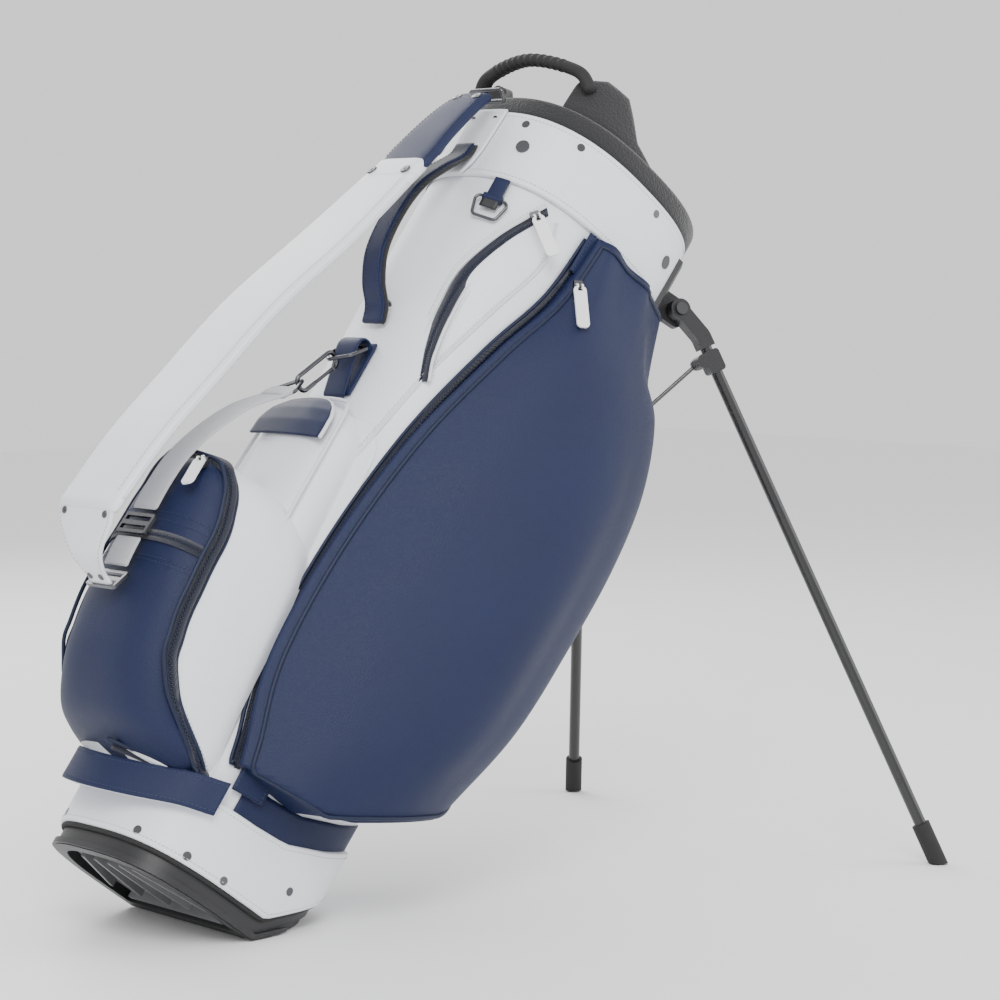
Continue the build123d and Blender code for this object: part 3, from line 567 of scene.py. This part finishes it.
def front_pocket(name, stations, edge, materials, node, bulge, rows_count=80):
    """A front pocket whose face and gusset meet along an edge given as (height, X)."""
    table = smooth([list(s) for s in stations], rows_count)
    front_cols, side_cols = 26, 30
    half = []
    for z, front, width in table:
        fine = np.array(pouch(front, width, 200))
        x_edge = float(np.interp(z, [e[0] for e in edge], [e[1] for e in edge])) if edge else front + 12
        k = int(np.argmax(fine[:, 0] > x_edge))
        k = min(max(k, 12), 185)
        cut = [fine[int(round(t))] for t in np.linspace(0, k, front_cols)]
        rest = [fine[int(round(t))] for t in np.linspace(k, 199, side_cols)[1:]]
        line = []
        for n, (x, y) in enumerate([*cut, *rest]):
            p = np.array([x, y, z])
            p += np.array([-1.0, 0, 0]) * bulge * wobble(p, 40, 9.0)
            line.append(on_tube(p, 0.8, only_inside=True))
        half.append(line)
    half = np.array(half)
    full = np.concatenate([mirrored(half[:, ::-1])[:, :-1], half], axis=1)
    inner_top = np.array([on_tube([p[0] * 0.55 - 70, p[1] * 0.5, p[2] + 4], 0.5) for p in full[-1]])
    top_mid = (full[-1] + inner_top) / 2 + [0, 0, 3]
    low_in = np.array([on_tube([p[0] * 0.6 - 50, p[1] * 0.8, p[2] - 3], 0.5) for p in full[0]])
    low_mid = (full[0] + low_in) / 2 - [0, 0, 1]
    full = np.concatenate([low_in[None], low_mid[None], full, top_mid[None], inner_top[None]])
    middle = side_cols - 1 + front_cols - 1

    def pick(i, j):
        return 0 if abs(j + 0.5 - middle) < front_cols - 1 else 1

    piece = grid(name, full, materials, "white_leather", pick=pick)
    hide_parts(node)
    near_edge = full[2:-2, middle + front_cols - 1]
    far_edge = full[2:-2, middle - front_cols + 1]
    return full, near_edge, far_edge


def ball_and_mid():
    full, near_edge, far_edge = front_pocket("ball_pocket_skin", BALL_STATIONS, BALL_EDGE, [NAVY, WHITE],
                                             "ball_pocket", 1.0)
    arch = np.concatenate([near_edge, far_edge[::-1]])
    out = np.array([[-0.5, np.sign(p[1]), 0.2] for p in arch])
    out /= np.linalg.norm(out, axis=1)[:, None]
    path = smooth(arch[::4], 260)
    normals = smooth(out[::4], 260)
    zip_band("ball_pocket_zip", path + normals * 0.6 + [-7, 0, 0], normals, 6.0, "navy_leather")
    tube_along("ball_pocket_piping", path + normals * 0.8 + [1.0, 0, 0], 2.0, NAVY_PIPING, "navy_leather")
    tube_along("ball_pocket_face_piping", path + normals * 0.5 + [-15.5, 0, 0], 2.0, NAVY_PIPING, "navy_leather")
    stitches("ball_gusset_stitching", [path + normals * 0.9 + [7, 0, 0]], THREAD_W, "white_leather")
    # small zip across the face with a row of stitching above and below it
    rows = full[2:-2]
    middle = full.shape[1] // 2

    def across(z, lift, reach=21):
        i = int(np.argmin(abs(rows[:, middle, 2] - z)))
        return np.array([rows[i, j] + [-lift, 0, 0] for j in range(middle - reach, middle + reach + 1)])

    chest = across(270, 0.8)
    zip_band("face_zip", chest, np.array([[-1, 0, 0.1]] * len(chest)), 6.0, "navy_leather")
    lines = [across(z, 0.6, 22) for z in (CHEST_LOW, CHEST_LOW + 5, CHEST_HIGH - 5, CHEST_HIGH)]
    stitches("face_zip_stitching", lines, THREAD_N, "navy_leather")

    full, near_edge, far_edge = front_pocket("mid_pocket_skin", MID_STATIONS, None, [WHITE, WHITE], "mid_pocket", 0.6)
    flap = []
    for t in np.linspace(0, 1, 30):
        z = 438 + 50 * t
        half_width = 55 * math.sqrt(max(0.02, 1 - (max(0, t - 0.15) / 0.86) ** 2.4))
        x = float(np.interp(z, (438, 455, 470, 482, 490), (-159.6, -159.6, -156.5, -150.5, -143)))
        flap.append([[x + 0.0009 * y * y * (1 + t), y, z] for y in np.linspace(-half_width, half_width, 24)])
    flap = np.array(flap)
    grid("mid_pocket_flap", flap, [NAVY], "navy_leather", thick=2.2)
    rim = np.concatenate([flap[::2, 0], flap[-1, 2:-2], flap[::-2, -1]])
    tube_along("mid_pocket_flap_piping", smooth(rim, 160) + [-0.6, 0, 0], 1.9, WHITE_EDGE, "white_leather")
    outline = [(-148, -60, 330), (-149, -60, 380), (-148, -59, 430), (-146, -56, 462), (-142, -48, 482), (-136, -34, 493),
               (-134, 0, 497)]
    outline += [(x, -y, z) for x, y, z in outline[-2::-1]]
    line = smooth(outline, 200)
    tube_along("mid_pocket_piping", line, 2.0, WHITE_EDGE, "white_leather")


def chest_zip():
    """The long zip on the near side with its stitched white border."""
    centre = [(-86, -104, 760), (-93, -99, 744), (-104, -84.5, 710), (-115, -72, 663), (-116, -71, 617),
              (-112.5, -75, 574), (-106, -82, 541)]
    line, normals = drape(centre, 160, 1.2)
    zip_band("chest_zip", line, normals, 7.0, "navy_leather")
    for n, shift in enumerate((-9.5, 9.5)):
        tangent, side, over = frames_along(line, normals)
        tube_along(f"chest_zip_welt_{n}", line + side * shift, 1.6, WHITE_EDGE, "white_leather")
        stitches(f"chest_zip_stitching_{n}", [line + side * (shift * 1.45) + over * 0.2], THREAD_W, "white_leather")
    # raised seam of the pocket behind it
    seam = [(-70, -106, 757), (-62, -107, 712), (-84, -100, 640), (-104, -86, 560), (-116, -72, 480), (-122, -58, 420),
            (-126, -40, 398), (-128, 0, 390)]
    line, normals = drape(seam, 200, 0.8)
    tube_along("chest_seam", line, 1.5, WHITE_EDGE, "white_leather")
    tangent, side, over = frames_along(line, normals)
    stitches("chest_seam_stitching", [line + side * 4 + over * 0.3], THREAD_W, "white_leather")


def zip_tabs():
    """Navy leather ends that close the side zips, top and bottom."""
    for side, hand in (("near", 1), ("far", -1)):
        place = np.asarray if hand > 0 else mirrored
        for name, corners, grow in (("top", ((-38, -118, 723), (-4, -122, 724), (0, -118, 768), (-36, -116, 769)), 7.6),
                                    ("low", ((-84, -103, 104), (-46, -104, 106), (-48, -108, 154), (-86, -104, 152)), 7.2)):
            a, b, c, d = (np.array(p, float) for p in corners)
            rows = []
            for t in np.linspace(0, 1, 14):
                left, right = a + (d - a) * t, b + (c - b) * t
                rows.append([on_tube(left + (right - left) * s, grow) for s in np.linspace(0, 1, 12)])
            grid(f"side_zip_{name}_tab_{side}", place(np.array(rows)), [NAVY], "navy_leather", thick=2.0, flip=hand < 0)
            ring = np.array([rows[0][1], rows[0][-2], rows[-1][-2], rows[-1][1], rows[0][1]])
            line = np.concatenate([np.linspace(p, q, 12) for p, q in zip(ring[:-1], ring[1:])])
            line = np.array([on_tube(p, grow + 0.3) for p in line])
            stitches(f"side_zip_{name}_tab_stitching_{side}", [place(line)], THREAD_N, "navy_leather")


ball_and_mid()
chest_zip()
zip_tabs()


# ---------------------------------------------------------------- strap and handles
def side_path(points, count, y=0.0):
    line = smooth([(x, z) for x, z in points], count)
    return np.column_stack([line[:, 0], np.full(count, y), line[:, 1]])


def away(path):
    """Directions away from the bag, square to a path that lies in the bag's middle plane."""
    tangent = np.gradient(path, axis=0)
    tangent /= np.linalg.norm(tangent, axis=1)[:, None]
    return np.cross(tangent, [0, 1, 0]) * (1 if np.cross(tangent[0], [0, 1, 0])[0] < 0 else -1)


def edge_lines(path, half_width, lift, inset):
    tangent, side, over = frames_along(path, away(path))
    w = np.asarray(half_width)[:, None] if np.ndim(half_width) else half_width
    return [path + side * (w - inset) * hand + over * lift for hand in (-1, 1)]


def shoulder_strap():
    pad = side_path([(-197, 722), (-226, 623), (-260, 519), (-281, 421), (-297, 340), (-305, 256)], 120)
    t = np.linspace(0, 1, 120)
    width = np.interp(t, (0, 0.08, 0.25, 0.6, 1.0), (36, 40, 46, 47, 46))
    piece = strip("strap_pad_skin", pad, away(pad), width, 7.0, [WHITE], "white_leather", power=7, around=40)
    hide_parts("strap_pad")
    for n, line in enumerate(edge_lines(pad[4:-4], width[4:-4], 0.2, -0.2)):
        tube_along(f"strap_pad_binding_{n}", line, 1.5, WHITE_EDGE, "white_leather")
    stitches("strap_pad_stitching", edge_lines(pad[4:-4], width[4:-4], 6.7, 6.0), THREAD_W, "white_leather")

    wrap = side_path([(-157, 850), (-168, 826), (-180, 788), (-193, 733)], 60)
    t = np.linspace(0, 1, 60)
    width = np.interp(t, (0, 0.3, 0.8, 1.0), (24, 30, 36, 36))
    piece = strip("strap_wrap_skin", wrap, away(wrap), width, 6.5, [NAVY], "navy_leather", power=5, around=36)
    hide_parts("strap_wrap")
    stitches("strap_wrap_stitching", edge_lines(wrap[4:-4], width[4:-4], 5.6, 5.0), THREAD_N, "navy_leather")
    cuff_end = side_path([(-191, 742), (-201, 706)], 12)
    piece = strip("strap_end_patch", cuff_end, away(cuff_end), 34, 8.2, [WHITE], "white_leather", power=7, around=36)
    for name, path, half, index in (("strap_end", cuff_end, 26, 7), ("strap_wrap", wrap, 15, 6)):
        over = away(path)[index]
        for hand in (-1, 1):
            at = path[index] + over * (8.2 if name == "strap_end" else 6.0) + np.array([0, half * hand, 0])
            rivet(f"{name}_rivet_{'near' if hand < 0 else 'far'}", at, over, 5.4)

    top, foot = np.array([-304.0, 0, 256]), np.array([-249.5, 0, 210])
    mid = (top + foot) / 2 + np.array([-5.5, 0, -9])
    tab = smooth([top + [2, 0, 10], top, mid, foot], 40)
    t = np.linspace(0, 1, 40)
    width = np.interp(t, (0, 0.25, 0.6, 0.85, 1.0), (44, 43, 26, 17, 17))
    out = np.array([[-0.6, 0, -0.8]] * 40)
    piece = strip("strap_tab_skin", tab, out, width, 2.0, [WHITE], "white_leather", power=7, around=32)
    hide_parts("strap_tab")
    tangent, side, over = frames_along(tab, out)
    stitches("strap_tab_stitching", [tab[3:-3] + side[3:-3] * (width[3:-3, None] - 4) * h + over[3:-3] * 2.1
                                     for h in (-1, 1)], THREAD_W, "white_leather")
    for n, (k, half) in enumerate(((6, 33), (6, -33), (34, 9), (34, -9))):
        rivet(f"strap_tab_rivet_{n}", tab[k] + side[k] * half + over[k] * 1.9, over[k], 3.4)

    web = side_path([(-251.5, 292), (-252, 320), (-249, 352), (-238, 388), (-217, 430), (-190, 463)], 70)
    piece = strip("webbing_skin", web, away(web), 19, 1.4, [WEBBING], "webbing", power=12, around=24)
    tail = side_path([(-248, 232), (-249.5, 244), (-250.5, 262)], 20)
    second = strip("webbing_tail_skin", tail, away(tail), 19, 1.4, [WEBBING], "webbing", power=12, around=24)
    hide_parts("strap_webbing")
    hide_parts("strap_webbing")
    for name, path in (("webbing", web), ("webbing_tail", tail)):
        stitches(f"{name}_edges", edge_lines(path[1:-1], 19.0, 1.3, 2.0), WEBBING, "webbing", pitch=2.4, length=2.0,
                 radius=0.35)
    loop = side_path([(-193, 459), (-187, 468), (-181, 476)], 16)
    strip("webbing_ring_loop", loop, away(loop), 18.5, 3.6, [WEBBING], "webbing", power=8, around=20)


HANDLE_RISE = 24.0


def grab_handles():
    path = side_path([(-139, 803), (-141, 786), (-156, 760), (-170, 728), (-175, 690), (-171, 650), (-156, 622),
                      (-139, 605), (-131.6, 588)], 110)
    up = away(path)
    piece = strip("spine_handle_padding", path - up * 0.9, up, 17.0, 3.0, [MESH], "mesh", power=4, around=28)
    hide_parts("spine_handle")
    t = np.linspace(0, 1, 110)
    width = np.interp(t, (0, 0.1, 0.3, 0.8, 1.0), (14, 14, 13, 15, 15.5))
    strip("spine_handle_leather", path + up * 2.3, up, width, 1.7, [NAVY], "navy_leather", power=6, around=24)
    stitches("spine_handle_stitching", edge_lines(path[3:-3], width[3:-3], 4.1, 3.0), THREAD_N, "navy_leather")
    for n, (y, z) in enumerate(((-9, 611), (10, 611), (0, 594))):
        at = on_tube([-128, y, z], 7.6)
        rivet(f"spine_handle_rivet_{n}", at, tube_normal(at), 4.0)

    flat = smooth([(-88, -104), (-122, -82), (-152, -35), (-161, 10), (-152, 48), (-128, 72), (-98, 94)], 110)
    for name, offset, mat in (("outer", 0.95, NAVY), ("lining", -0.95, WHITE)):
        rows = []
        tangent = np.gradient(flat, axis=0)
        tangent /= np.linalg.norm(tangent, axis=1)[:, None]
        out = np.column_stack([-tangent[:, 1], tangent[:, 0]])
        if out[55, 0] > 0:
            out = -out
        for z, thin in ((48, 0.2), (49, 1), *((z, 1.0) for z in np.linspace(52, 78, 8)), (81, 1), (82, 0.2)):
            rows.append([[p[0] + o[0] * (offset + 0.9 * thin), p[1] + o[1] * (offset + 0.9 * thin), z + HANDLE_RISE * (p[1] / 104) ** 2]
                         for p, o in zip(flat, out)])
        for z, thin in ((82, 0.2), (81, 1), *((z, 1.0) for z in np.linspace(78, 52, 8)), (49, 1), (48, 0.2)):
            rows.append([[p[0] + o[0] * (offset - 0.9 * thin), p[1] + o[1] * (offset - 0.9 * thin), z + HANDLE_RISE * (p[1] / 104) ** 2]
                         for p, o in zip(flat, out)])
        rows = np.array(rows).transpose(1, 0, 2)
        piece = grid(f"base_handle_{name}", rows, [mat], "navy_leather", wrap=True, cap=True)
        if name == "outer":
            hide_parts("base_handle")
    lines = [np.column_stack([flat + out * 2.0, z + HANDLE_RISE * (flat[:, 1] / 104) ** 2]) for z in (52.0, 78.0)]
    stitches("base_handle_stitching", lines, THREAD_N, "navy_leather")


def lift_handle():
    arch = smooth([(-98, 85, 900), (-112, 66, 915), (-124, 0, 923), (-112, -66, 915), (-98, -85, 900)], 150)
    tangent, side, over = frames_along(arch, [-0.45, 0, 0.9])
    rows = []
    for i in range(150):
        ridge = 0.55 * math.cos(i * 0.9) if 34 < i < 116 else 0.0
        rows.append([arch[i] + side[i] * (8.4 + ridge) * math.cos(a) + over[i] * (6.4 + ridge) * math.sin(a)
                     for a in np.linspace(0, 2 * math.pi, 24, endpoint=False)])
    piece = grid("lift_handle_grip", rows, [RUBBER], "matte_black", wrap=True, cap=True)
    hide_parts("lift_handle")
    top_x, top_z = (-108, -104, -86, -60, -46, -30, -8, 12), (869, 914, 926, 922, 906, 886, 877, 869)
    for side_name, hand in (("near", 1), ("far", -1)):
        rows = []
        for turn in np.linspace(214, 273, 60):
            x = tube_point(turn, 900, -6)[0]
            high = max(870.5, float(np.interp(x, top_x, top_z)))
            ring = []
            for a in np.linspace(0, 2 * math.pi, 28, endpoint=False):
                c, s = math.cos(a), math.sin(a)
                u = abs(c) ** 0.5 * (1 if c >= 0 else -1)
                v = abs(s) ** 0.5 * (1 if s >= 0 else -1)
                z = 868.4 + (high - 868.4) * (v + 1) / 2
                depth = (z - 868.3) / 61.7
                outer, inner = -1.5 - 8.5 * depth, -15.6 - 10 * depth
                ring.append(tube_point(turn, z, (outer + inner) / 2 + (outer - inner) / 2 * u))
            rows.append(ring)
        place = np.asarray if hand > 0 else mirrored
        piece = grid(f"handle_sleeve_{side_name}_skin", place(np.array(rows)), [MESH], "mesh", wrap=True, cap=True,
                     flip=hand < 0)
        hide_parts(f"handle_sleeve_{side_name}")
    # thick mesh roll over the frame round the mouth
    rows = []
    for a in np.linspace(-math.pi / 2, 1.5 * math.pi, 29):
        c, s = math.cos(a), math.sin(a)
        u = abs(c) ** 0.5 * (1 if c >= 0 else -1)
        v = abs(s) ** 0.5 * (1 if s >= 0 else -1)
        line = []
        for turn in np.arange(0, 360, 2.5):
            outer = float(np.interp(tube_point(turn, 860, 0)[0], (-128, 128), (1.5, 6.0)))
            line.append(tube_point(turn, 861.2 + 11.8 * v, (outer - 14.5) / 2 + (outer + 14.5) / 2 * u))
        rows.append(line)
    grid("mouth_collar", rows, [MESH], "mesh", wrap=True)


def cloth_dividers():
    for node, panels in (("cross_dividers", ((-42.0, None, 270), (38.0, None, 270))),
                         ("centre_dividers", ((None, (-40, 36), 290), (None, (40, 121), 290)))):
        for n, (x, span, low) in enumerate(panels):
            rows = []
            for z in np.linspace(low, 838, 40):
                line = []
                if x is not None:
                    m, length, width, power = outline_at(z, -5)
                    reach = width * (1 - abs((x - m) / length) ** power) ** (1 / power)
                    for y in np.linspace(-reach, reach, 40):
                        line.append([x + 1.0 * math.sin(z / 60) * math.cos(y / 40), y, z])
                else:
                    back = min(span[1], outline_at(z, -5)[0] + outline_at(z, -5)[1])
                    for q in np.linspace(span[0], back, 24):
                        line.append([q, 0.9 * math.sin(z / 52), z])
                rows.append(line)
            piece = grid(f"{node}_cloth_{n}", rows, [LINING], "lining", thick=2.0)
            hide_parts(node)


def hip_pads():
    for side_name, hand in (("near", 1), ("far", -1)):
        rows = []
        for z in np.linspace(215.5, 461.5, 90):
            line = []
            for y in np.linspace(-57, -9, 30):
                u, v = (y + 33) / 24, (z - 338.5) / 123
                crown = (1 - abs(u) ** 6) * (1 - abs(v) ** 14)
                channel = 1 - 0.30 * math.exp(-((z - 338.5) % 41 - 20.5) ** 2 / 14)
                lift = 1.0 + 20.0 * max(0.0, crown) ** 0.5 * channel
                m, length, width, power = outline_at(z, lift)
                line.append([m + length * (1 - abs(y / width) ** power) ** (1 / power), y, z])
            rows.append(line)
        place = np.asarray if hand > 0 else mirrored
        piece = grid(f"hip_pad_{side_name}_skin", place(np.array(rows)), [MESH], "mesh", flip=hand < 0)
        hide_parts(f"hip_pad_{side_name}")


def tabs_and_plate():
    tab = [(-129, 502), (-131.5, 506), (-138, 530), (-145, 552), (-142, 562), (-134, 563), (-128.5, 556)]
    path = side_path(tab, 50)
    piece = strip("ring_tab_skin", path, away(path), 16.5, 1.7, [NAVY], "navy_leather", power=8, around=24)
    flat = np.array([on_tube([-126, 0, z], 2.6) for z in np.linspace(505, 566, 30)])
    strip("ring_tab_base", flat, [-1, 0, 0], 21, 2.0, [NAVY], "navy_leather", power=8, around=24)
    rivet("ring_tab_rivet", flat[6] + [-5.5, 0, 0], [-1, 0, 0], 3.8)
    rows = []
    for z in np.linspace(746, 771, 10):
        rows.append([on_tube([-118 + 0.45 * (y + 60) * -0.0 - (y + 60) * -0.55, y, z], 4.6) for y in np.linspace(-72, -48, 12)])
    second = grid("towel_tab_skin", rows, [NAVY], "navy_leather", thick=3.0)
    at, bar = np.array([-121.0, -60, 748]), np.array([0.5, -0.866, 0])
    path = [at + bar * s for s in np.linspace(-10, 10, 12)]
    tube_along("towel_tab_sleeve", path, 4.4, NAVY, "navy_leather", around=18)
    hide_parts("ring_tabs")
    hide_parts("ring_tabs")
    # badge on the towel ring, left plain
    rows = []
    down = np.array([0, 0, -1.0])
    for s in np.linspace(1.5, 12, 6):
        rows.append([at + down * s + bar * q for q in np.linspace(-9, 9, 8)])
    piece = grid("towel_ring_badge", np.array(rows) + [-1.0, -0.6, 0], [PLASTIC], "matte_black", thick=2.0)
    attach(piece, "towel_loop")

    rows = []
    for z in np.linspace(770, 849, 26):
        half = float(np.interp(z, (770, 782, 800, 849), (10, 18, 23, 27)))
        rows.append([[on_tube([-130, y, z], 7.6)[0], y, z] for y in np.linspace(-half, half, 20)])
    piece = grid("strap_plate_skin", rows, [WHITE], "white_leather", thick=2.6)
    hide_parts("strap_plate")
    rows = np.array(rows)
    rim = np.concatenate([rows[1:-1, 1], rows[-2, 2:-2], rows[1:-1, -2][::-1]])
    stitches("strap_plate_stitching", [rim + [-0.3, 0, 0]], THREAD_W, "white_leather")
    for n, (y, z) in enumerate(((-16, 838), (16, 838), (-8, 784), (8, 784))):
        at = on_tube([-130, y, z], 7.9)
        rivet(f"strap_plate_rivet_{n}", at, tube_normal(at), 3.8)


shoulder_strap()
grab_handles()
lift_handle()
cloth_dividers()
hip_pads()
tabs_and_plate()


# ---------------------------------------------------------------- hard pieces kept from the frame
HARD = {
    PLASTIC: ("base_foot", "heel_plate", "stand_bracket", "spreader_block", "guide_track", "leg_head_near",
              "leg_head_far", "leg_clip_near", "leg_clip_far", "divider_bars", "top_frame"),
    INSERT: ("sole_insert",),
    STEEL: ("heel_hinge_pin", "pivot_pins", "push_rod", "strut_near", "strut_far"),
    TUBE: ("leg_tube_near", "leg_tube_far"),
    RUBBER: ("leg_foot_near", "leg_foot_far"),
    GUN: ("cuff_rivets", "strap_loop", "triangle_ring", "snap_hook", "hook_gate", "d_ring", "towel_ring",
          "strap_buckles", "side_zip_slider_near", "side_zip_slider_far", "chest_zip_slider", "ball_zip_slider"),
    PULL: ("side_zip_pull_near", "side_zip_pull_far", "chest_zip_pull", "ball_zip_pull"),
}
for mat, names in HARD.items():
    for name in names:
        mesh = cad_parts[name].data
        mesh.materials.clear()
        mesh.materials.append(mat)

# ---------------------------------------------------------------- floor, light and camera
floor_material = material("floor", (0.93, 0.93, 0.93), 0.6, "noise", 0.05, vary=0.01)
bpy.ops.mesh.primitive_plane_add(size=12, location=(0, 0, -0.0015))
floor = bpy.context.object
floor.name = "floor"
floor.data.materials.append(floor_material)

world = bpy.data.worlds.new("studio")
world.use_nodes = True
world.node_tree.nodes["Background"].inputs["Color"].default_value = (1, 1, 1, 1)
world.node_tree.nodes["Background"].inputs["Strength"].default_value = 1.1
bpy.context.scene.world = world


def area_light(name, place, target, power, size):
    data = bpy.data.lights.new(name, "AREA")
    data.energy = power
    data.size = size
    lamp = bpy.data.objects.new(name, data)
    lamp.location = place
    lamp.rotation_euler = (Vector(target) - Vector(place)).to_track_quat("-Z", "Y").to_euler()
    bpy.context.scene.collection.objects.link(lamp)


CENTRE = (0.2, 0, 0.4)
area_light("key", (-1.6, -2.2, 2.6), CENTRE, 95, 1.6)
area_light("fill", (2.4, -2.0, 1.4), CENTRE, 30, 2.0)
area_light("back", (0.8, 2.4, 2.0), CENTRE, 45, 1.8)

AZIMUTH, ELEVATION = math.radians(-41.02), math.radians(4.68)
DISTANCE, TARGET = 3.0522, Vector((0.3427, 0, 0.3811))
away_from = Vector((math.sin(AZIMUTH) * math.cos(ELEVATION), -math.cos(AZIMUTH) * math.cos(ELEVATION),
                    math.sin(ELEVATION)))
lens = bpy.data.cameras.new("camera")
lens.sensor_width = 36
lens.lens = 107.29
camera = bpy.data.objects.new("camera", lens)
camera.location = TARGET + away_from * DISTANCE
camera.rotation_euler = (-away_from).to_track_quat("-Z", "Y").to_euler()
bpy.context.scene.collection.objects.link(camera)
bpy.context.scene.camera = camera
